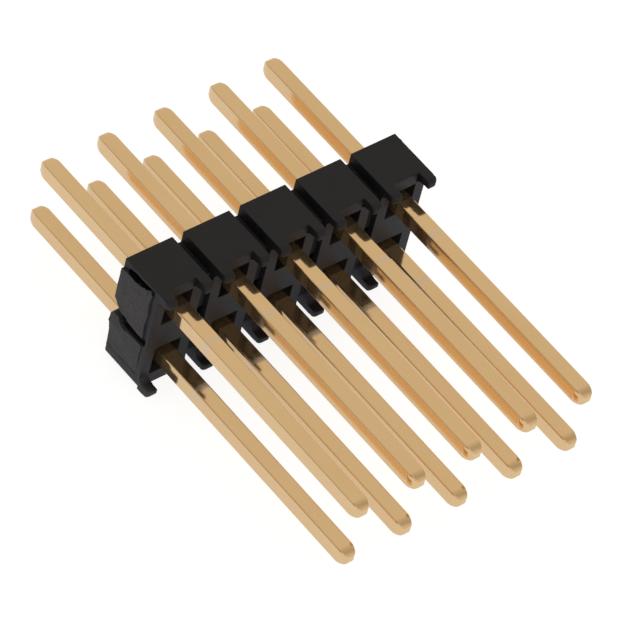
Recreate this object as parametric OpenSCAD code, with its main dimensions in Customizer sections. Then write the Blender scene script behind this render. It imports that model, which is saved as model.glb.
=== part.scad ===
// Straight pin header strip: two rows of square gold pins in one moulded insulator.
// The strip lies on the long side of its insulator, as it was put down: the row
// runs along X, the short posts that take a socket point to +Y, and the long tails
// that go through a board point to -Y. Z is up from the surface it lies on.
// All sizes are in millimetres.

/* [Pin grid] */
// Distance between neighbouring pins of one row
pitch = 2.54; // [2.4:0.02:3]
// Distance between the two rows
row_spacing = 2.54; // [2.4:0.02:3]

/* [Pins] */
// Side of a pin's square section
pin_width = 0.64; // [0.5:0.01:0.72]
// Radius along the four long edges of a pin
pin_edge_radius = 0.06; // [0.03:0.01:0.12]
// Length of the posts behind the insulator
post_length = 5.87; // [3:0.05:12]
// Length of the tails in front of the feet
tail_length = 10.04; // [3:0.05:16]
// Length of the tapered tip at each end of a pin
tip_length = 0.46; // [0.3:0.02:0.8]
// Width that is left at the very end of a tip
nose_width = 0.27; // [0.16:0.01:0.36]
// Corner broken at the end of the nose
nose_corner = 0.05; // [0.02:0.01:0.07]
// Bulge of the tapered sides, 1 for a straight pyramid
tip_bulge = 1.7; // [1:0.1:3]
// Clearance between a pin and its hole, on each side
pin_clearance = 0; // [0:0.005:0.02]

/* [Insulator] */
// Width of one block along the row
block_width = 2.06; // [1.9:0.02:2.2]
// Height of a block across both rows
block_height = 5.04; // [4.7:0.02:5.4]
// Depth from the feet to the back face
body_depth = 2.54; // [2.2:0.02:3.4]

/* [Feet and pockets] */
// How far the feet stand out from the front face
foot_length = 0.6; // [0.3:0.05:0.8]
// Width of a foot along the row
foot_width = 0.43; // [0.3:0.01:0.45]
// Thickness of a foot
foot_thickness = 0.34; // [0.26:0.01:0.45]
// Radius at the outer corner of a foot
foot_corner = 0.17; // [0.05:0.01:0.25]
// Radius between the outer face of a foot and its end
foot_round = 0.2; // [0.05:0.01:0.25]
// Radius of the hollow between a foot and the front face
foot_fillet = 0.22; // [0.1:0.01:0.25]
// Width of the square pocket round each tail
pocket_width = 1.17; // [0.9:0.01:1.2]
// Height of that pocket
pocket_height = 1.3; // [0.9:0.01:1.34]
// How far the pocket's middle lies outside the pin's middle
pocket_shift = 0.03; // [0:0.01:0.06]
// Depth of the pocket from the front face
pocket_depth = 0.45; // [0.2:0.05:0.7]

/* [Break lines] */
// Depth of the notch between two blocks, from the outer faces
notch_depth = 0.52; // [0.3:0.02:0.8]
// Set-back of the webs from the blocks' front face
web_setback = 0.25; // [0.1:0.05:0.6]
// Opening between the upper and the lower web
web_gap = 0.55; // [0.3:0.05:0.9]
// How far that opening cuts into the blocks' sides
window_cut = 0.11; // [0.05:0.01:0.2]
// Most that the torn webs stand out at the left end
left_stub = 0.17; // [0.08:0.01:0.3]
// Most that the torn webs stand out at the right end
right_stub = 0.44; // [0.2:0.01:0.48]
// Depth of the cracks beside the upper torn web at the left end
crack_depth = 0.3; // [0.1:0.05:0.4]
// Radius worn on the lower edge of the left end
worn_radius = 0.24; // [0.1:0.02:0.3]

/* [Hidden] */
pins_per_row = 5;
$fn = 48;

plastic_colour = [0.17, 0.17, 0.18];
gold_colour = [0.80, 0.65, 0.44];

upper = 1;
lower = -1;

// The middle of the pins' length is at y = 0
pin_length = post_length + body_depth + tail_length;
feet_y = tail_length - pin_length / 2;
front_y = feet_y + foot_length;
back_y = feet_y + body_depth;
block_depth = back_y - front_y;
mid_z = block_height / 2;

// The webs between the blocks
web_y = front_y + web_setback;
web_depth = back_y - web_y;
web_height = mid_z - notch_depth - web_gap / 2;
row_end = (pins_per_row - 1) / 2 * pitch + block_width / 2;

// Facets along a tapered tip, and what cuts reach past the faces they open
tip_steps = 5;
reach = 0.1;
// How deep a torn web is rooted in its block
stub_root = 0.2;

// Outlines of the torn webs. Along the web: a share of the way from front to back and a
// share of how far the stub stands out. Across it: the same from the slit outwards. On the
// end face: shares of the way from front to back and from the slit outwards.
left_upper_along = [[0, 0.55], [0.12, 0.9], [0.3, 0.78], [0.52, 1], [0.74, 0.82], [0.9, 0.95], [1, 0.8]];
left_upper_across = [[-0.2, 0.6], [-0.08, 0.85], [0.1, 0.72], [0.25, 0.8], [0.45, 0.95], [0.62, 0.84],
    [0.78, 1], [0.95, 0.8], [1.1, 0.7], [1.25, 0.4]];
left_upper_face = [[0, -0.17], [0.2, -0.15], [0.36, -0.14], [0.47, -0.12], [0.58, -0.06], [0.68, -0.07],
    [0.79, -0.03], [0.9, 0.06], [1, 0.17], [1, 1.03], [0.88, 1.07], [0.72, 1.1], [0.55, 1.08],
    [0.42, 1.1], [0.28, 1.11], [0.16, 1.17], [0.04, 1.2], [0, 1.12], [0.03, 0.84], [0, 0.55], [0.03, 0.2]];
left_lower_along = [[0, 0.25], [0.2, 0.32], [0.45, 0.45], [0.65, 0.7], [0.85, 1.05], [1, 1.1]];
left_lower_across = [[-0.2, 0.7], [0.08, 0.9], [0.2, 1.1], [0.34, 0.7], [0.5, 0.42], [0.7, 0.24], [1, 0.1]];
left_lower_face = [[0, 0.1], [0.3, 0.105], [0.44, 0.09], [0.55, 0.095], [0.62, 0.07], [0.7, 0],
    [0.78, -0.08], [0.9, -0.08], [1, -0.03], [1, 1], [0, 1]];
right_along = [[0, 0.42], [0.2, 0.5], [0.38, 0.47], [0.6, 0.72], [0.8, 0.8], [1, 1]];
right_across = [[-0.1, 0.5], [0.05, 0.64], [0.22, 0.84], [0.5, 0.78], [0.8, 0.92], [1, 1]];
right_face = [[0, 0.03], [0.25, -0.02], [0.5, 0.01], [0.75, -0.03], [1, 0.02], [1, 1], [0, 1]];
// Cracks above and below the upper torn web of the left end, in shares of that web
upper_crack = [[0.02, 1], [-0.02, 1.12], [0, 1.225], [0.08, 1.235], [0.18, 1.19], [0.3, 1.17], [0.45, 1.165],
    [0.6, 1.17], [0.72, 1.14], [0.8, 1.13], [0.86, 1.06], [0.8, 1.02]];
lower_crack = [[-0.07, -0.2], [-0.085, -0.3], [-0.06, -0.4], [0.2, -0.405], [0.4, -0.41], [0.55, -0.4],
    [0.66, -0.36], [0.76, -0.27], [0.8, -0.15], [0.72, -0.1], [0.5, -0.12], [0.3, -0.13], [0, -0.15]];

function column_x(column) = (column - (pins_per_row + 1) / 2) * pitch;
function row_z(row) = mid_z + row * row_spacing / 2;

// Half the width of a pin at a share of the way down its tapered tip
function tip_half(share) = pin_width / 2 - (pin_width - nose_width) / 2 * pow(share, tip_bulge);

// One long edge of a pin's outline, from the middle of its length to one end
function pin_side() = concat(
    [for (i = [0:tip_steps])
        [tip_half(i / tip_steps), pin_length / 2 - tip_length + i / tip_steps * (tip_length - nose_corner)]],
    [[nose_width / 2 - nose_corner, pin_length / 2]]);

// Outline of a whole pin in its own plane, pointed at both ends
function pin_outline() = let (side = pin_side(), n = len(side)) concat(
    side,
    [for (i = [n - 1:-1:0]) [-side[i][0], side[i][1]]],
    [for (i = [0:n - 1]) [-side[i][0], -side[i][1]]],
    [for (i = [n - 1:-1:0]) [side[i][0], -side[i][1]]]);

module rounded_square(width, radius) {
    square([width - 2 * radius, width], center = true);
    square([width, width - 2 * radius], center = true);
    for (sx = [-1, 1], sy = [-1, 1])
        translate([sx, sy] * (width / 2 - radius)) circle(r = radius);
}

// Square bar along Y with rounded edges
module bar(width, radius, from_y, to_y) {
    translate([0, to_y, 0]) rotate([90, 0, 0])
        linear_extrude(to_y - from_y) rounded_square(width, radius);
}

module pin_tapered_in_x() {
    translate([0, 0, -pin_width]) linear_extrude(2 * pin_width) polygon(pin_outline());
}

// A straight pin: a rounded square bar that tapers on all four sides at both ends
module pin(column, row) {
    color(gold_colour)
    translate([column_x(column), 0, row_z(row)])
    intersection() {
        bar(pin_width, pin_edge_radius, -pin_length / 2, pin_length / 2);
        pin_tapered_in_x();
        rotate([0, 90, 0]) pin_tapered_in_x();
    }
}

// A foot seen along Z, from its outer side at x = 0, with the outer corner round
module foot_plan() {
    translate([-foot_width, feet_y + foot_corner])
        square([foot_width, foot_length - foot_corner + reach]);
    translate([-foot_width, feet_y]) square([foot_width - foot_corner, foot_length]);
    translate([-foot_corner, feet_y + foot_corner]) circle(r = foot_corner);
}

// The same foot seen along X, from its inner face at z = 0, with the edge of its end round
module foot_profile() {
    translate([feet_y + foot_round, 0]) square([foot_length - foot_round + reach, foot_thickness]);
    translate([feet_y, 0]) square([foot_length, foot_thickness - foot_round]);
    translate([feet_y + foot_round, foot_thickness - foot_round]) circle(r = foot_round);
}

// One foot, with its outer corner at the block's edge: side is -1 or 1 along the
// row, and row tells whether it is at the upper or the lower face
module foot(side, row) {
    mirror([side < 0 ? 1 : 0, 0, 0]) mirror([0, 0, row < 0 ? 1 : 0])
    translate([block_width / 2, 0, mid_z - foot_thickness]) {
        intersection() {
            linear_extrude(foot_thickness) foot_plan();
            translate([-foot_width - reach, 0, 0]) rotate([90, 0, 90])
                linear_extrude(foot_width + 2 * reach) foot_profile();
        }
        // Hollow where the foot grows out of the front face
        translate([-foot_width, front_y - foot_fillet, -foot_fillet])
        difference() {
            cube([foot_width, foot_fillet + reach, foot_fillet + foot_thickness / 2]);
            translate([-reach, 0, 0]) rotate([0, 90, 0])
                cylinder(r = foot_fillet, h = foot_width + 2 * reach);
        }
    }
}

// One block holds an upper and a lower pin
module block(column) {
    translate([column_x(column), 0, mid_z]) {
        translate([-block_width / 2, front_y, -mid_z])
            cube([block_width, block_depth, block_height]);
        for (side = [-1, 1], row = [lower, upper]) foot(side, row);
    }
}

// The webs that join the blocks run on through them
module webs() {
    for (row = [lower, upper])
        translate([-row_end + stub_root, web_y, mid_z + (row > 0 ? web_gap / 2 : -web_gap / 2 - web_height)])
            cube([2 * (row_end - stub_root), web_depth, web_height]);
}

// Opening between the upper and the lower web, which is a little wider than the notch
module window(at_x) {
    width = pitch - block_width + 2 * window_cut;
    translate([at_x - width / 2, web_y, mid_z - web_gap / 2]) cube([width, web_depth + reach, web_gap]);
}

function face_points(face) = [for (p = face) [p[0] * web_depth, p[1] * web_height]];

// What is left of one web at the right end where the strip was snapped off: the body that
// its three ragged outlines have in common
module torn_web(row, stands_out, along, across, face) {
    translate([row_end - stub_root, web_y, mid_z]) mirror([0, 0, row < 0 ? 1 : 0])
    translate([0, 0, web_gap / 2])
    intersection() {
        translate([0, 0, -web_gap]) linear_extrude(web_height + 2 * web_gap) polygon(concat(
            [[0, 0]],
            [for (p = along) [stub_root + p[1] * stands_out, p[0] * web_depth]],
            [[0, web_depth]]));
        translate([0, web_depth, 0]) rotate([90, 0, 0]) linear_extrude(web_depth) polygon(concat(
            [[0, across[0][0] * web_height]],
            [for (p = across) [stub_root + p[1] * stands_out, p[0] * web_height]],
            [[0, across[len(across) - 1][0] * web_height]]));
        rotate([90, 0, 90]) linear_extrude(stub_root + 2 * stands_out) polygon(face_points(face));
    }
}

// Crack that the break opened beside the upper web, also drawn at the right end
module crack(outline) {
    translate([row_end - crack_depth, web_y, mid_z + web_gap / 2]) rotate([90, 0, 90])
        linear_extrude(crack_depth + reach) polygon(face_points(outline));
}

// What wear has taken off the lower edge of the left end
module worn_edge() {
    translate([-row_end - reach, back_y + reach, -reach]) rotate([90, 0, 0])
    linear_extrude(block_depth + reach) difference() {
        square(worn_radius + reach);
        translate([worn_radius + reach, worn_radius + reach]) circle(r = worn_radius);
    }
}

module pocket(column, row) {
    translate([
        column_x(column) - pocket_width / 2,
        front_y - reach,
        row_z(row) + row * pocket_shift - pocket_height / 2])
        cube([pocket_width, pocket_depth + reach, pocket_height]);
}

module pin_hole(column, row) {
    translate([column_x(column), 0, row_z(row)])
        bar(pin_width + 2 * pin_clearance, pin_edge_radius + pin_clearance, front_y, back_y + reach);
}

module insulator() {
    color(plastic_colour)
    difference() {
        union() {
            difference() {
                for (column = [1:pins_per_row]) block(column);
                for (column = [1:pins_per_row + 1]) window(column_x(column - 0.5));
                mirror([1, 0, 0]) for (outline = [upper_crack, lower_crack]) crack(outline);
                worn_edge();
            }
            webs();
            for (row = [lower, upper])
                torn_web(row, right_stub, right_along, right_across, right_face);
            mirror([1, 0, 0]) {
                torn_web(upper, left_stub, left_upper_along, left_upper_across, left_upper_face);
                torn_web(lower, left_stub, left_lower_along, left_lower_across, left_lower_face);
            }
        }
        for (column = [1:pins_per_row], row = [lower, upper]) {
            pocket(column, row);
            pin_hole(column, row);
        }
    }
}

insulator();
pin(1, upper);  // pin_upper_1
pin(2, upper);  // pin_upper_2
pin(3, upper);  // pin_upper_3
pin(4, upper);  // pin_upper_4
pin(5, upper);  // pin_upper_5
pin(1, lower);  // pin_lower_1
pin(2, lower);  // pin_lower_2
pin(3, lower);  // pin_lower_3
pin(4, lower);  // pin_lower_4
pin(5, lower);  // pin_lower_5
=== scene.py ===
# %% [markdown]
# ## A pin header strip, dressed for its picture
# The strip is a common part of circuit boards: ten square gilt pins in two rows, held by one
# black moulded insulator that was snapped off a longer strip. Its solids come from the CAD
# model as a fixed frame. This lesson gives them what a CAD solid lacks: soft edges, torn
# plastic, drawn metal and the light of a product picture. Lengths here are in metres, and one
# millimetre is written MM, because every size of the strip is a few of them.

import math

import bmesh
import bpy
from mathutils import Matrix, Vector, noise
from mathutils.bvhtree import BVHTree


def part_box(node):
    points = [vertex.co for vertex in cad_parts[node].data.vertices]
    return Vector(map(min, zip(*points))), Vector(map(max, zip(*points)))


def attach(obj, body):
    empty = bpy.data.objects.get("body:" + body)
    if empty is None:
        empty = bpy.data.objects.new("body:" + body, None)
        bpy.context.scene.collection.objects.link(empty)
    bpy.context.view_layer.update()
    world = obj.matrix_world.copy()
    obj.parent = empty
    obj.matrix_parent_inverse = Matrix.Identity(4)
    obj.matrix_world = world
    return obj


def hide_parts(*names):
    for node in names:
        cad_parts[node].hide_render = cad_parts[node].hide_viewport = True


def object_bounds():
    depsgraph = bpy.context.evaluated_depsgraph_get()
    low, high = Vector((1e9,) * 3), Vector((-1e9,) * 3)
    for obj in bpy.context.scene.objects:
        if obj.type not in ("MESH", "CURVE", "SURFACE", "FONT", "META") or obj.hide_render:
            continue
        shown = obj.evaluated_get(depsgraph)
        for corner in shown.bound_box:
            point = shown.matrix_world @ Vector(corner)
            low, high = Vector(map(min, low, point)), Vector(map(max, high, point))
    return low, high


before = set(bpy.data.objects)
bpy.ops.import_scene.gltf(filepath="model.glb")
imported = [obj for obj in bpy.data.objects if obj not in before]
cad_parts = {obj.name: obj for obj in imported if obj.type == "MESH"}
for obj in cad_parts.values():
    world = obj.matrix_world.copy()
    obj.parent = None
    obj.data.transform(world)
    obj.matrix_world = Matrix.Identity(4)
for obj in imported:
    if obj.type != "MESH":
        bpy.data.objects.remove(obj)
cad_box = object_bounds()
MM = 0.001
print("CAD box in mm:", [[round(v / MM, 3) for v in corner] for corner in cad_box])

# %% [markdown]
# ### The camera
# The picture was taken from far above the left end of the strip with a long lens, so the pins
# stay nearly parallel. A camera could be placed by eye, but here its place was found by fitting
# the ends of the pins, whose grid of 2.54 mm is known. It is given as a sight line, azimuth and
# height above the horizon, a roll about that line, and a distance.

# %% Place the camera
AIM = Vector((0.1216, -0.6300, 2.2300)) * MM
SIGHT_AZIMUTH = -49.705
SIGHT_HEIGHT = 47.341
CAMERA_ROLL = 15.236
CAMERA_DISTANCE = 203.95 * MM
LENS_LENGTH = 324.74
SENSOR_WIDTH = 36.0
CLIP_START = 10 * MM
CLIP_END = 2000 * MM


def sight_frame(azimuth, height, roll):
    """Right, up and back of a camera that looks from that side, turned about its sight line."""
    a, h, r = (math.radians(v) for v in (azimuth, height, roll))
    back = Vector((math.sin(a) * math.cos(h), -math.cos(a) * math.cos(h), math.sin(h)))
    right = Vector((0, 0, 1)).cross(back).normalized()
    up = back.cross(right)
    return math.cos(r) * right + math.sin(r) * up, -math.sin(r) * right + math.cos(r) * up, back


right, up, back = sight_frame(SIGHT_AZIMUTH, SIGHT_HEIGHT, CAMERA_ROLL)
lens = bpy.data.cameras.new("long_lens")
lens.sensor_width = SENSOR_WIDTH
lens.lens = LENS_LENGTH
lens.clip_start = CLIP_START
lens.clip_end = CLIP_END
camera = bpy.data.objects.new("camera", lens)
bpy.context.scene.collection.objects.link(camera)
turn = Matrix((right, up, back)).transposed().to_4x4()
camera.matrix_world = Matrix.Translation(AIM + CAMERA_DISTANCE * back) @ turn
bpy.context.scene.camera = camera
print("camera at", [round(v / MM, 1) for v in camera.matrix_world.translation], "mm")

# %% [markdown]
# ### Helpers for the pieces
# Each piece is a mesh in the frame's own place, so its object stays at the origin, unturned.
# One helper turns a finished bmesh into such an object, hides the CAD node it replaces and hangs
# it on the part. It marks edges sharper than a given angle. A Weighted Normal modifier then lets
# the wide faces keep their own normals, so that the light turns only in the narrow rounds between
# them. Plain smooth shading would bend the light over the whole face and make a square pin look
# like a rod.

# %% Make a piece from a bmesh
SHARP_ANGLE = math.radians(35)
WIDE_FACE_WEIGHT = 100


def finish_piece(name, bm, node, sharp=SHARP_ANGLE):
    """The bmesh becomes an object that replaces its CAD node and rides with the part."""
    mesh = bpy.data.meshes.new(name)
    bm.to_mesh(mesh)
    bm.free()
    mesh.shade_smooth()
    mesh.set_sharp_from_angle(angle=sharp)
    piece = bpy.data.objects.new(name, mesh)
    bpy.context.scene.collection.objects.link(piece)
    flatten = piece.modifiers.new("flat_faces", "WEIGHTED_NORMAL")
    flatten.mode = "FACE_AREA"
    flatten.weight = WIDE_FACE_WEIGHT
    flatten.keep_sharp = True
    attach(piece, "root")
    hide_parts(node)
    return piece


def size_of(bm):
    """The size of a bmesh in millimetres, to compare with the CAD node's."""
    return [
        round((max(v.co[i] for v in bm.verts) - min(v.co[i] for v in bm.verts)) / MM, 3)
        for i in range(3)
    ]


# %% [markdown]
# ### The pins
# A pin is drawn square wire, 0.64 mm across, cut and coined to a blunt point at both ends, then
# plated. Its long edges are slightly round from the drawing die. It could be a CAD copy with a
# bevel, but a bar made of rings of points gives one smooth skin over the rounded nose: the long
# edges of a cube are bevelled, it is cut across many times near its ends, and the rings of each
# tip are scaled down along a curve that ends in a quarter circle, the round of the nose.

# %% One pin
EDGE_RADIUS = 0.06 * MM
EDGE_SEGMENTS = 4
TIP_LENGTH = 0.46 * MM
NOSE_WIDTH = 0.35 * MM
TIP_BULGE = 1.9
NOSE_ROUND = 0.11 * MM
TIP_RINGS = 8
NOSE_RINGS = 5
CUT_TOLERANCE = 1e-6 * MM


def box_bmesh(low, high):
    """A box between two corners."""
    bm = bmesh.new()
    bmesh.ops.create_cube(bm, size=1.0)
    low, high = Vector(low), Vector(high)
    bmesh.ops.scale(bm, verts=bm.verts, vec=high - low)
    bmesh.ops.translate(bm, verts=bm.verts, vec=(low + high) / 2)
    return bm


def cut_across(bm, y):
    """Cuts everything in a bmesh at that place on Y, which gives a ring of points there."""
    geometry = bm.verts[:] + bm.edges[:] + bm.faces[:]
    bmesh.ops.bisect_plane(
        bm, geom=geometry, plane_co=(0, y, 0), plane_no=(0, 1, 0), dist=CUT_TOLERANCE,
    )


def tip_half_width(from_end, width):
    """Half of the pin's width at that distance from its end."""
    share = max(0.0, 1.0 - from_end / TIP_LENGTH)
    half = width / 2 - (width - NOSE_WIDTH) / 2 * share**TIP_BULGE
    past = max(0.0, 1.0 - from_end / NOSE_ROUND)
    return half - NOSE_ROUND * (1.0 - math.sqrt(1.0 - past * past))


def coin_tips(bm, low, high):
    """Scales the rings near both ends towards the middle, along the tip's curve."""
    middle = (low + high) / 2
    width = high.x - low.x
    for v in bm.verts:
        from_end = max(0.0, min(v.co.y - low.y, high.y - v.co.y))
        shrink = tip_half_width(from_end, width) / (width / 2)
        v.co.x = middle.x + (v.co.x - middle.x) * shrink
        v.co.z = middle.z + (v.co.z - middle.z) * shrink


def round_long_edges(bm, low, high):
    """Bevels the four long edges of a bar before it is cut across."""
    half_length = (high.y - low.y) / 2
    long_edges = [e for e in bm.edges if abs(e.verts[0].co.y - e.verts[1].co.y) > half_length]
    bmesh.ops.bevel(
        bm, geom=long_edges, offset=EDGE_RADIUS, offset_type="OFFSET", segments=EDGE_SEGMENTS,
        profile=0.5, affect="EDGES", material=-1,
    )


def gilt_pin(node):
    """One pin in the place of its CAD node."""
    low, high = (Vector(corner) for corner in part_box(node))
    bm = box_bmesh(low, high)
    round_long_edges(bm, low, high)
    sloped = TIP_LENGTH - NOSE_ROUND
    depths = [TIP_LENGTH - sloped * ring / TIP_RINGS for ring in range(TIP_RINGS + 1)]
    turns = [math.radians(90 * ring / NOSE_RINGS) for ring in range(1, NOSE_RINGS)]
    depths += [NOSE_ROUND * (1 - math.sin(turn)) for turn in turns]
    for depth in depths:
        cut_across(bm, low.y + depth)
        cut_across(bm, high.y - depth)
    coin_tips(bm, low, high)
    return bm, low, high


PIN_NODES = [f"pin_{row}_{column}" for row in ("upper", "lower") for column in range(1, 6)]
pins = {}
for node in PIN_NODES:
    bm, low, high = gilt_pin(node)
    made = size_of(bm)
    pins[node] = finish_piece(node.replace("pin", "gilt_pin"), bm, node)
print("last pin measures", made, "mm, its node", [round(v / MM, 3) for v in high - low])

# %% [markdown]
# ### The insulator
# The insulator is one moulding, and its form is exact in CAD: blocks, grooves, feet, pockets and
# webs. To build it again here would only bring errors, so a copy of its mesh is merged and its
# flat faces are joined.

# %% Merge a copy of the insulator
SAME_POINT = 1e-4 * MM
SAME_PLANE = math.radians(0.5)


def merged_copy(node):
    """A bmesh of a CAD node, with its loose triangles joined to flat faces."""
    bm = bmesh.new()
    bm.from_mesh(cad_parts[node].data)
    bmesh.ops.remove_doubles(bm, verts=bm.verts, dist=SAME_POINT)
    bmesh.ops.dissolve_limit(
        bm, angle_limit=SAME_PLANE, use_dissolve_boundaries=False,
        verts=bm.verts, edges=bm.edges,
    )
    return bm


moulding = merged_copy("insulator")
print("moulding:", len(moulding.verts), "points,", len(moulding.faces), "faces")
print("open edges:", sum(1 for e in moulding.edges if not e.is_manifold))

# %% [markdown]
# ### The cracks
# Where the strip was snapped off, two cracks opened beside the torn webs of its left end. The CAD
# solid has them, but shallow and narrow, because its walls must stay sound. Here only their points
# are moved: the floor goes deeper, the mouth of the upper crack opens and slopes in, and the
# lower crack runs on to the back. A soft step keeps the move away from the rest of the webs.

# %% Where the cracks are
# Places on X, from the middle of the strip
WEB_SIDE = -6.115 * MM
SLIT_FLOOR = -6.0 * MM
CRACK_ROOT = -5.91 * MM
CRACK_FLOOR = -5.81 * MM
# Levels above or below the middle height
MIDDLE_HEIGHT = 2.52 * MM
MOUTH_BOTTOM = 2.06 * MM
ROOF_LEVELS = (2.2 * MM, 2.45 * MM)
LIP_LEVELS = (-0.5 * MM, -0.2 * MM)
SLIT_HALF_HEIGHT = 0.32 * MM
LOWER_CRACK_TOP = 0.68 * MM
# Places on Y, where a pair gives the start and the end of a soft step
ROOF_START = 1.6 * MM
SLIT_START = 2.5 * MM
CRACK_BACK = 2.8 * MM
MOUTH_START = (1.75 * MM, 2.1 * MM)
MOUTH_END = (2.9 * MM, 3.3 * MM)
LIP_START = (2.0 * MM, 2.6 * MM)

# %% Open the cracks
CRACK_DEEPER = 0.24 * MM
MOUTH_DROP = 0.05 * MM
MOUTH_SLOPE = 0.10 * MM
MOUTH_LIFT = 0.07 * MM
SLIT_DEEPER = 0.25 * MM
LIP_DROP = 0.06 * MM
RUN_ON = 0.28 * MM
ON_PLACE = 0.004 * MM
NEAR_PLACE = 0.01 * MM


def soft_step(value, start, end):
    """0 before start, 1 past end, and a smooth turn between."""
    share = min(1.0, max(0.0, (value - start) / (end - start)))
    return share * share * (3.0 - 2.0 * share)


def along_mouth(y):
    """1 along the middle of the upper crack, falling to 0 at its ends."""
    return soft_step(y, *MOUTH_START) * (1.0 - soft_step(y, *MOUTH_END))


def yz_place(point):
    """Where a point is in the YZ plane, to a hundredth of a millimetre."""
    return round(point.y / MM, 2), round(point.z / MM, 2)


def open_cracks(bm):
    """Moves the points of both cracks, and returns how many floor points it found."""
    floor_points = [v for v in bm.verts if abs(v.co.x - CRACK_FLOOR) < ON_PLACE]
    behind = {
        yz_place(v.co) for v in floor_points
        if v.co.y > CRACK_BACK and v.co.z - MIDDLE_HEIGHT < LOWER_CRACK_TOP
    }
    for v in bm.verts:
        if v.co.x > CRACK_FLOOR + ON_PLACE:
            continue
        height = v.co.z - MIDDLE_HEIGHT
        in_root = abs(v.co.x - CRACK_ROOT) < NEAR_PLACE
        in_slit = abs(v.co.x - SLIT_FLOOR) < NEAR_PLACE and abs(height) < SLIT_HALF_HEIGHT
        in_web = v.co.x < WEB_SIDE or in_root
        if in_web and height > MOUTH_BOTTOM:
            v.co.z -= (MOUTH_DROP + in_root * MOUTH_SLOPE) * along_mouth(v.co.y)
        elif in_slit and v.co.y > SLIT_START:
            v.co.x += SLIT_DEEPER
        elif not in_web and ROOF_LEVELS[0] < height < ROOF_LEVELS[1] and v.co.y > ROOF_START:
            v.co.z += MOUTH_LIFT * along_mouth(v.co.y)
        elif in_web and LIP_LEVELS[0] < height < LIP_LEVELS[1]:
            v.co.z -= LIP_DROP * soft_step(v.co.y, *LIP_START)
        elif yz_place(v.co) in behind:
            v.co.y += RUN_ON
    for v in floor_points:
        v.co.x += CRACK_DEEPER
    return len(floor_points)


print("crack floor points:", open_cracks(moulding))
print("volume now", round(moulding.calc_volume() / MM**3, 2), "mm3")

# %% [markdown]
# ### The moulded corners
# A mould never leaves a knife edge, and its feet are rounder than its blocks. The bevel operator
# rounds the corners, but only where there is room: next to a very short edge the round would
# fold over itself. A cut across the feet, halfway along them, gives their rounds a place to run
# out, so that the wide faces stay flat. What isn't flat after that is split. At the end the
# points are held against the sharp CAD surface, to see how far the rounds went.

# %% Find the corners with room for a round
MOULD_ROUND = 0.022 * MM
MOULD_SEGMENTS = 2
FOOT_ROUND = 0.05 * MM
FOOT_SEGMENTS = 3
FOOT_ROOT = 1.36 * MM
ROUND_END = 1.10 * MM
NEARLY_FLAT = math.radians(1)
CRISP = math.radians(40)
BLOCK_SIDE = 6.11 * MM
OWN_SHARE = 0.45
OTHER_SHARE = 0.8
LEAST_ANGLE = 1e-4


def moulded(edge):
    """Whether an edge lies on the moulding and not on the torn webs at its ends."""
    return all(abs(v.co.x) < BLOCK_SIDE + ON_PLACE for v in edge.verts)


def cramped(loop, crisp, width):
    """The crisp edge at a face corner that has no room there for the round, or None."""
    ahead, behind = loop.edge, loop.link_loop_prev.edge
    angle = max(loop.calc_angle(), LEAST_ANGLE)
    if ahead in crisp and behind in crisp:
        shorter = min((ahead, behind), key=lambda e: e.calc_length())
        slide = width / math.tan(angle / 2)
        return shorter if slide > OWN_SHARE * shorter.calc_length() else None
    if ahead in crisp or behind in crisp:
        edge, other = (ahead, behind) if ahead in crisp else (behind, ahead)
        slide = width / max(math.sin(angle), LEAST_ANGLE)
        return edge if slide > OTHER_SHARE * other.calc_length() else None
    return None


def edges_with_room(bm, width):
    """The crisp moulded edges whose neighbours leave room for a round of that width."""
    sound = [e for e in bm.edges if e.is_manifold and moulded(e)]
    crisp = {e for e in sound if e.calc_face_angle(0.0) > CRISP}
    while True:
        ends = {v for e in crisp for v in e.verts}
        tight = {cramped(loop, crisp, width) for v in ends for loop in v.link_loops} - {None}
        if not tight:
            return list(crisp)
        crisp -= tight


# %% Round the moulded corners
def round_edges(bm, edges, width, segments):
    """Bevels those edges and says what it cost in volume."""
    before = bm.calc_volume()
    bmesh.ops.bevel(
        bm, geom=edges, offset=width, offset_type="OFFSET", segments=segments,
        profile=0.5, affect="EDGES", material=-1, clamp_overlap=False,
    )
    print("rounded", len(edges), "edges; volume kept:", round(bm.calc_volume() / before, 5))


sharp_moulding = moulding.copy()
everything = moulding.verts[:] + moulding.edges[:] + moulding.faces[:]
bmesh.ops.bisect_plane(moulding, geom=everything, plane_co=(0, ROUND_END, 0), plane_no=(0, 1, 0))
roomy = edges_with_room(moulding, FOOT_ROUND)
feet = [e for e in roomy if all(v.co.y < FOOT_ROOT for v in e.verts)]
round_edges(moulding, feet, FOOT_ROUND, FOOT_SEGMENTS)
round_edges(moulding, edges_with_room(moulding, MOULD_ROUND), MOULD_ROUND, MOULD_SEGMENTS)
bmesh.ops.connect_verts_nonplanar(moulding, angle_limit=NEARLY_FLAT, faces=moulding.faces[:])
print("size now", size_of(moulding), "mm")
surface = BVHTree.FromBMesh(sharp_moulding)
sharp_moulding.free()
strayed = max(surface.find_nearest(v.co)[3] for v in moulding.verts)
print("furthest new point from the CAD surface:", round(strayed / MM, 3), "mm")

# %% [markdown]
# ### The torn ends
# The strip was snapped off a longer one, so the webs at its two ends are torn: dull, lighter and
# rough, where the moulded faces are smooth. A bump alone would leave the outline straight, so the
# torn faces are cut into small triangles and pushed inwards by noise that is the same in every
# run. The same faces carry an attribute, torn, that the plastic reads for its colour and
# roughness. It is kept on faces, so that the smooth sides of the cracks stay black up to their
# edge. The lower edge of the left end is only worn, which fades, so that share is kept on points.

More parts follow.
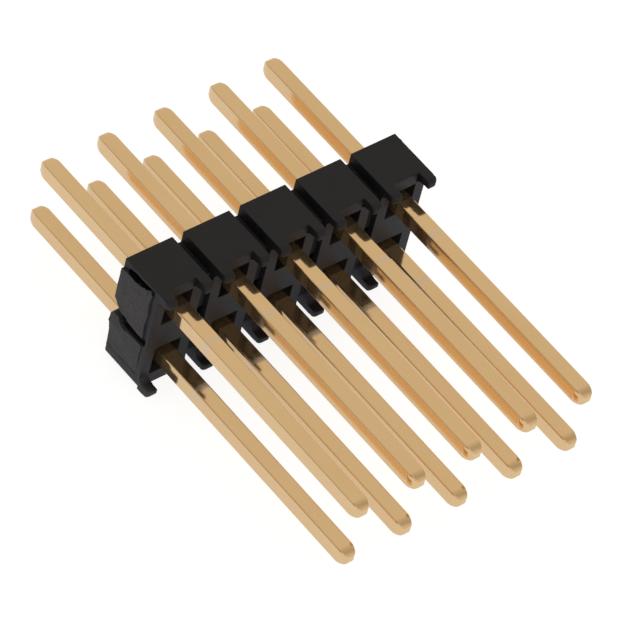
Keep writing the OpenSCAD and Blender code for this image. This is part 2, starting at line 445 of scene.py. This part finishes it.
# %% Find and roughen the torn faces
TORN_GRAIN = 0.07 * MM
TORN_DEPTH = 0.05 * MM
TORN_FACING = 0.7
PAST_BLOCK = 0.02 * MM
WORN_TOP = 0.56 * MM
WORN_SHARE = 0.85
CHIPS = {"size": 0.45 * MM, "shift": Vector((3.0, 7.0, 1.0)), "share": 0.35}
CRUMBS = {"size": 0.17 * MM, "shift": Vector((9.0, 2.0, 5.0)), "share": 0.35}
DUST = {"size": 0.08 * MM, "shift": Vector((0.0, 0.0, 0.0)), "share": 0.25}
MEAN_HEIGHT = 0.45
MOST_CUTS = 7
MOULDING_SHARP_ANGLE = math.radians(30)


def torn_faces(bm):
    """The faces that look outwards past the last blocks."""
    outwards = [f for f in bm.faces if abs(f.normal.x) > TORN_FACING]
    return [f for f in outwards if abs(f.calc_center_median().x) > BLOCK_SIDE + PAST_BLOCK]


def cut_small(bm, size):
    """Cuts the torn faces into triangles until no edge is longer than that size."""
    for _ in range(MOST_CUTS):
        bmesh.ops.triangulate(bm, faces=torn_faces(bm))
        long_edges = {e for f in torn_faces(bm) for e in f.edges if e.calc_length() > size}
        if not long_edges:
            return
        bmesh.ops.subdivide_edges(bm, edges=list(long_edges), cuts=1)
    bmesh.ops.triangulate(bm, faces=torn_faces(bm))


def noise_layer(point, layer):
    """One layer of noise, from minus its share to its share."""
    return layer["share"] * noise.noise(point / layer["size"] + layer["shift"])


def torn_height(point):
    """How far a torn point is pushed in, from 0 to 1: broad chips, crumbs and a fine grain."""
    height = MEAN_HEIGHT + noise_layer(point, CHIPS)
    height += abs(noise_layer(point, CRUMBS)) + noise_layer(point, DUST)
    return min(1.0, max(0.0, height))


cut_small(moulding, TORN_GRAIN)
torn_layer = moulding.faces.layers.float.new("torn")
worn_layer = moulding.verts.layers.float.new("worn")
for face in torn_faces(moulding):
    face[torn_layer] = 1.0
for v in moulding.verts:
    if v.co.x < CRACK_FLOOR - PAST_BLOCK and v.co.z < WORN_TOP:
        v[worn_layer] = WORN_SHARE
torn_points = {v for f in torn_faces(moulding) for v in f.verts}
for v in torn_points:
    inwards = -1.0 if v.co.x > 0 else 1.0
    v.co.x += inwards * TORN_DEPTH * torn_height(v.co)
print("torn points:", len(torn_points), "in", len(torn_faces(moulding)), "faces")
print("size now", size_of(moulding), "mm")

insulator = finish_piece(
    "moulded_insulator", moulding, "insulator", MOULDING_SHARP_ANGLE,
)

# %% [markdown]
# ### Finishes
# Each material needs noise at several scales: a fine grain for the bump and the roughness, and a
# slow one for the tone. So one node group makes them all, with its stretch, its scale and its
# detail as inputs. A few helpers keep the code that joins nodes short.

# %% Node helpers
def new_group(name, inputs, outputs):
    """An empty shader node group with named inputs and outputs."""
    group = bpy.data.node_groups.new(name, "ShaderNodeTree")
    for label, kind, value in inputs:
        made = group.interface.new_socket(name=label, in_out="INPUT", socket_type=kind)
        made.default_value = value
    for label, kind in outputs:
        group.interface.new_socket(name=label, in_out="OUTPUT", socket_type=kind)
    return group, group.nodes.new("NodeGroupInput"), group.nodes.new("NodeGroupOutput")


def feed(tree, node, sockets):
    """Fills sockets of a node, each with a value or with the output of another node."""
    for key, value in sockets.items():
        socket = node.inputs[key]
        if isinstance(value, bpy.types.NodeSocket):
            tree.links.new(value, socket)
        elif socket.type == "RGBA":
            socket.default_value = (*value, 1.0)
        else:
            socket.default_value = value


def put(tree, kind, sockets=None, **settings):
    """A new node with its settings and what goes into its sockets."""
    node = tree.nodes.new(kind)
    for key, value in settings.items():
        setattr(node, key, value)
    feed(tree, node, sockets or {})
    return node


def solve(tree, operation, first, second=0.0):
    """The result of a Math node."""
    node = put(tree, "ShaderNodeMath", {0: first, 1: second}, operation=operation)
    return node.outputs["Value"]


def remap(tree, value, **ends):
    """The result of a Map Range node. An end that isn't given keeps the node's own 0 or 1."""
    sockets = {key.replace("_", " ").title(): end for key, end in ends.items()}
    return put(tree, "ShaderNodeMapRange", {"Value": value, **sockets}).outputs["Result"]


def blend(tree, mask, first, second, data_type="RGBA"):
    """Two colours, or two numbers, mixed by a mask."""
    sockets = {"Factor": mask, "A": first, "B": second}
    return put(tree, "ShaderNodeMix", sockets, data_type=data_type).outputs["Result"]


def bump(tree, height, strength, distance):
    """The normal of a Bump node."""
    sockets = {"Height": height, "Strength": strength, "Distance": distance}
    return put(tree, "ShaderNodeBump", sockets).outputs["Normal"]


def new_material(name):
    """A material with a bare Principled shader."""
    material = bpy.data.materials.new(name)
    material.use_nodes = True
    tree = material.node_tree
    return material, tree, tree.nodes["Principled BSDF"]


# %% Fine grain
EVEN = (1.0, 1.0, 1.0)
USUAL_SCALE = 1000.0
USUAL_DETAIL = 3.0
GRAIN_ROUGHNESS = 0.6


def build_grain():
    """Noise stretched by a vector: a height from 0 to 1, for a bump or a mask."""
    group, start, end = new_group(
        "fine_grain",
        [("Stretch", "NodeSocketVector", EVEN), ("Scale", "NodeSocketFloat", USUAL_SCALE),
         ("Detail", "NodeSocketFloat", USUAL_DETAIL)],
        [("Height", "NodeSocketFloat")],
    )
    place = put(group, "ShaderNodeTexCoord")
    stretched = put(
        group, "ShaderNodeVectorMath", {0: place.outputs["Object"], 1: start.outputs["Stretch"]},
        operation="MULTIPLY",
    )
    speckle = put(group, "ShaderNodeTexNoise", {
        "Vector": stretched.outputs["Vector"], "Scale": start.outputs["Scale"],
        "Detail": start.outputs["Detail"], "Roughness": GRAIN_ROUGHNESS,
    })
    feed(group, end, {"Height": speckle.outputs["Fac"]})
    return group


def grain(tree, values):
    """The height of the grain group, placed in a material with its own values."""
    return put(tree, "ShaderNodeGroup", values, node_tree=fine_grain).outputs["Height"]


fine_grain = build_grain()
print("grain sockets:", [item.name for item in fine_grain.interface.items_tree])

# %% [markdown]
# ### Gold plating
# The gold is thin and bright, but the drawn wire under it shows as faint lines along the pin, and
# its tone drifts a little. So a grain is stretched along Y for the lines, in bump and roughness,
# and a broad one moves the colour between a paler and a redder gold. The surface is a little
# hazy, which a small share of diffuse light gives. Every pin has a pale, dull ring close to the
# body, where it was gripped while it was pressed in. A mask on the length of the pin draws it,
# and noise breaks its edge. The mask is a node group of its own, with the place and the width of
# the ring as inputs.

# %% The ring where a pin was gripped
GRIP_PLACE = -0.62 * MM
GRIP_HALF_WIDTH = 0.10 * MM
USUAL_NOISE = 0.5
RING_OUTSIDE = 2.2
RING_INSIDE = 0.9


def build_grip_ring():
    """A mask of the pale ring, from the place along the pin and a noise that breaks it."""
    group, start, end = new_group(
        "grip_ring",
        [("Place", "NodeSocketFloat", GRIP_PLACE),
         ("Half Width", "NodeSocketFloat", GRIP_HALF_WIDTH),
         ("Noise", "NodeSocketFloat", USUAL_NOISE)],
        [("Mask", "NodeSocketFloat")],
    )
    place = put(group, "ShaderNodeTexCoord")
    apart = put(group, "ShaderNodeSeparateXYZ", {"Vector": place.outputs["Object"]})
    along = solve(group, "SUBTRACT", apart.outputs["Y"], start.outputs["Place"])
    away = solve(group, "ABSOLUTE", along)
    share = solve(group, "DIVIDE", away, start.outputs["Half Width"])
    broken = solve(group, "ADD", share, start.outputs["Noise"])
    feed(group, end, {"Mask": remap(group, broken, from_min=RING_OUTSIDE, from_max=RING_INSIDE)})
    return group


grip_ring = build_grip_ring()
print("ring sockets:", [item.name for item in grip_ring.interface.items_tree])

# %% The gold material
DRAWN_LINES = {"Stretch": (1.0, 0.004, 1.0), "Scale": 24000.0, "Detail": 2.0}
GOLD_DRIFT = {"Stretch": (1.0, 0.35, 1.0), "Scale": 900.0, "Detail": 2.0}
SCUFFS = {"Stretch": EVEN, "Scale": 6000.0, "Detail": 3.0}
METAL_SHARE = 0.93
RED_GOLD = (0.905, 0.60, 0.295)
PALE_GOLD = (0.965, 0.665, 0.35)
RING_COLOUR = (0.74, 0.66, 0.58)
RING_SHARE = 0.36
RING_ROUGHNESS = 0.35
GOLD_ROUGHNESS = {"to_min": 0.06, "to_max": 0.11}
LINE_STRENGTH = 0.03
LINE_DEPTH = 0.001 * MM


def build_gold():
    """Gold with drawn lines, a drifting tone and the ring."""
    material, tree, shader = new_material("gold_plating")
    lines = grain(tree, DRAWN_LINES)
    ring = put(tree, "ShaderNodeGroup", {"Noise": grain(tree, SCUFFS)}, node_tree=grip_ring)
    ringed = solve(tree, "MULTIPLY", ring.outputs["Mask"], RING_SHARE)
    tone = blend(tree, grain(tree, GOLD_DRIFT), RED_GOLD, PALE_GOLD)
    haze = remap(tree, lines, **GOLD_ROUGHNESS)
    feed(tree, shader, {
        "Metallic": METAL_SHARE,
        "Base Color": blend(tree, ringed, tone, RING_COLOUR),
        "Roughness": blend(tree, ringed, haze, RING_ROUGHNESS, data_type="FLOAT"),
        "Normal": bump(tree, lines, LINE_STRENGTH, LINE_DEPTH),
    })
    return material


gold = build_gold()
for pin in pins.values():
    pin.data.materials.append(gold)
print("gold plating on", len(pins), "pins")

# %% [markdown]
# ### Moulded plastic
# The insulator is black thermoplastic filled with glass. Where the mould touched it, it is satin
# and takes its grey from the sky it mirrors; the body colour is nearly black. Where it is torn,
# the glass in it scatters the light and it turns a dull dark grey, uneven like a broken stone.
# The attributes torn and worn say where that is, and the larger of the two counts.

# %% The plastic material
MOULD_GRAIN = {"Stretch": EVEN, "Scale": 9000.0, "Detail": 4.0}
PLASTIC_DRIFT = {"Stretch": EVEN, "Scale": 700.0, "Detail": 3.0}
STONE_GRAIN = {"Stretch": EVEN, "Scale": 5000.0, "Detail": 4.0}
SMOOTH_TONES = (0.0040, 0.0046, 0.0076), (0.0070, 0.0080, 0.0122)
TORN_TONES = (0.035, 0.0322, 0.0325), (0.078, 0.072, 0.0725)
SATIN_ROUGHNESS = {"to_min": 0.52, "to_max": 0.66}
TORN_ROUGHNESS = 0.8
SHEEN = 0.445
SHEEN_TINT = (1.0, 0.92, 0.84)
MOULD_GRAIN_STRENGTH = 0.15
MOULD_GRAIN_DEPTH = 0.006 * MM


def build_plastic():
    """Black satin plastic that turns grey and dull where it is torn or worn."""
    material, tree, shader = new_material("moulded_plastic")
    speckle = grain(tree, MOULD_GRAIN)
    torn = put(tree, "ShaderNodeAttribute", attribute_name="torn")
    worn = put(tree, "ShaderNodeAttribute", attribute_name="worn")
    broken = solve(tree, "MAXIMUM", torn.outputs["Fac"], worn.outputs["Fac"])
    smooth_tone = blend(tree, grain(tree, PLASTIC_DRIFT), *SMOOTH_TONES)
    torn_tone = blend(tree, grain(tree, STONE_GRAIN), *TORN_TONES)
    satin = remap(tree, speckle, **SATIN_ROUGHNESS)
    feed(tree, shader, {
        "Base Color": blend(tree, broken, smooth_tone, torn_tone),
        "Roughness": blend(tree, broken, satin, TORN_ROUGHNESS, data_type="FLOAT"),
        "Specular IOR Level": SHEEN,
        "Specular Tint": SHEEN_TINT,
        "Normal": bump(tree, speckle, MOULD_GRAIN_STRENGTH, MOULD_GRAIN_DEPTH),
    })
    return material


insulator.data.materials.append(build_plastic())
print("plastic on the insulator:", [material.name for material in insulator.data.materials])

# %% [markdown]
# ### Floor and light
# The picture has a pure white ground and light from all round, with no hard shadow, as on a
# light table inside a tent. White walls at full strength would burn out the gold, so what the
# metal mirrors is kept at two thirds of white, and only the view of the floor and of the far
# wall is lifted to white. The Light Path node tells the two apart. The tent is darkest a little
# in front of the top, where the photographer's opening would be. The slopes of the pin tips
# mirror that stripe, which gives each of them the darker band where the tip begins. The wall to
# the left is dark too, and only the rounded long edges mirror it, as a fine darker line. Nearly
# all the light comes from the tent and the floor. Two weak lamps at the front and the left add
# little more than a glint here and there.

# %% Lift what is seen straight
WHITE = (1.0, 1.0, 1.0)


def lift_seen(tree, mirrored, seen):
    """A strength that is one value for the camera and another for light and reflections."""
    path = put(tree, "ShaderNodeLightPath")
    return remap(tree, path.outputs["Is Camera Ray"], to_min=mirrored, to_max=seen)


# %% Floor
FLOOR_HALF_WIDTH = 600 * MM
FLOOR_GAP = 0.02 * MM
FLOOR_GREY = (0.35, 0.35, 0.35)
FLOOR_ROUGHNESS = 0.9
FLOOR_MIRRORED_COLOUR = (0.80, 0.85, 0.95)
FLOOR_MIRRORED = 0.70
FLOOR_SEEN = 0.86


def build_floor():
    """A wide sheet just under the strip, which glows like a light table."""
    bm = bmesh.new()
    bmesh.ops.create_grid(bm, x_segments=1, y_segments=1, size=FLOOR_HALF_WIDTH)
    mesh = bpy.data.meshes.new("floor")
    bm.to_mesh(mesh)
    bm.free()
    material, tree, shader = new_material("pale_floor")
    feed(tree, shader, {
        "Base Color": FLOOR_GREY,
        "Roughness": FLOOR_ROUGHNESS,
        "Specular IOR Level": 0.0,
        "Emission Color": blend(tree, lift_seen(tree, 0.0, 1.0), FLOOR_MIRRORED_COLOUR, WHITE),
        "Emission Strength": lift_seen(tree, FLOOR_MIRRORED, FLOOR_SEEN),
    })
    mesh.materials.append(material)
    return bpy.data.objects.new("floor", mesh)


floor = build_floor()
floor.location.z = cad_box[0][2] - FLOOR_GAP
bpy.context.scene.collection.objects.link(floor)
print("floor at", round(floor.location.z / MM, 3), "mm")

# %% Lamps
def soft_lamp(name, place, width, watts):
    """A square area lamp that faces the strip."""
    data = bpy.data.lights.new(name, "AREA")
    data.shape = "SQUARE"
    data.size = width
    data.energy = watts
    lamp = bpy.data.objects.new(name, data)
    lamp.location = place
    lamp.rotation_euler = (Vector(place) - AIM).to_track_quat("Z", "Y").to_euler()
    bpy.context.scene.collection.objects.link(lamp)
    print(name, "of", watts, "W,", round((Vector(place) - AIM).length / MM), "mm from the strip")


soft_lamp("key_lamp", place=(-0.20, -0.16, 0.26), width=0.16, watts=0.06)
soft_lamp("fill_lamp", place=(-0.06, -0.28, 0.20), width=0.20, watts=0.04)

# %% The tent
TENT_MIRRORED_COLOUR = (0.65, 0.628, 0.588)
DARK_STRIPE = 0.66
DARKEST = -0.2
FADE = 0.5
LEFT_WALL = 0.72
LEFT_DARK = -0.55
LEFT_CLEAR = 0.1


def build_tent():
    """White to the camera, and grey walls with a dark stripe and a dark left side to the rest."""
    world = bpy.data.worlds.new("white_tent")
    world.use_nodes = True
    tree = world.node_tree
    side = put(tree, "ShaderNodeTexCoord")
    apart = put(tree, "ShaderNodeSeparateXYZ", {"Vector": side.outputs["Generated"]})
    away = solve(tree, "ABSOLUTE", solve(tree, "SUBTRACT", apart.outputs["Y"], DARKEST))
    stripe = remap(tree, away, from_max=FADE, to_min=DARK_STRIPE)
    left = remap(
        tree, apart.outputs["X"], from_min=LEFT_DARK, from_max=LEFT_CLEAR, to_min=LEFT_WALL,
    )
    seen = lift_seen(tree, 0.0, 1.0)
    feed(tree, tree.nodes["Background"], {
        "Color": blend(tree, seen, TENT_MIRRORED_COLOUR, WHITE),
        "Strength": solve(tree, "MAXIMUM", solve(tree, "MULTIPLY", stripe, left), seen),
    })
    return world


bpy.context.scene.world = build_tent()
bpy.context.scene.view_settings.view_transform = "Standard"
print("world:", bpy.context.scene.world.name)
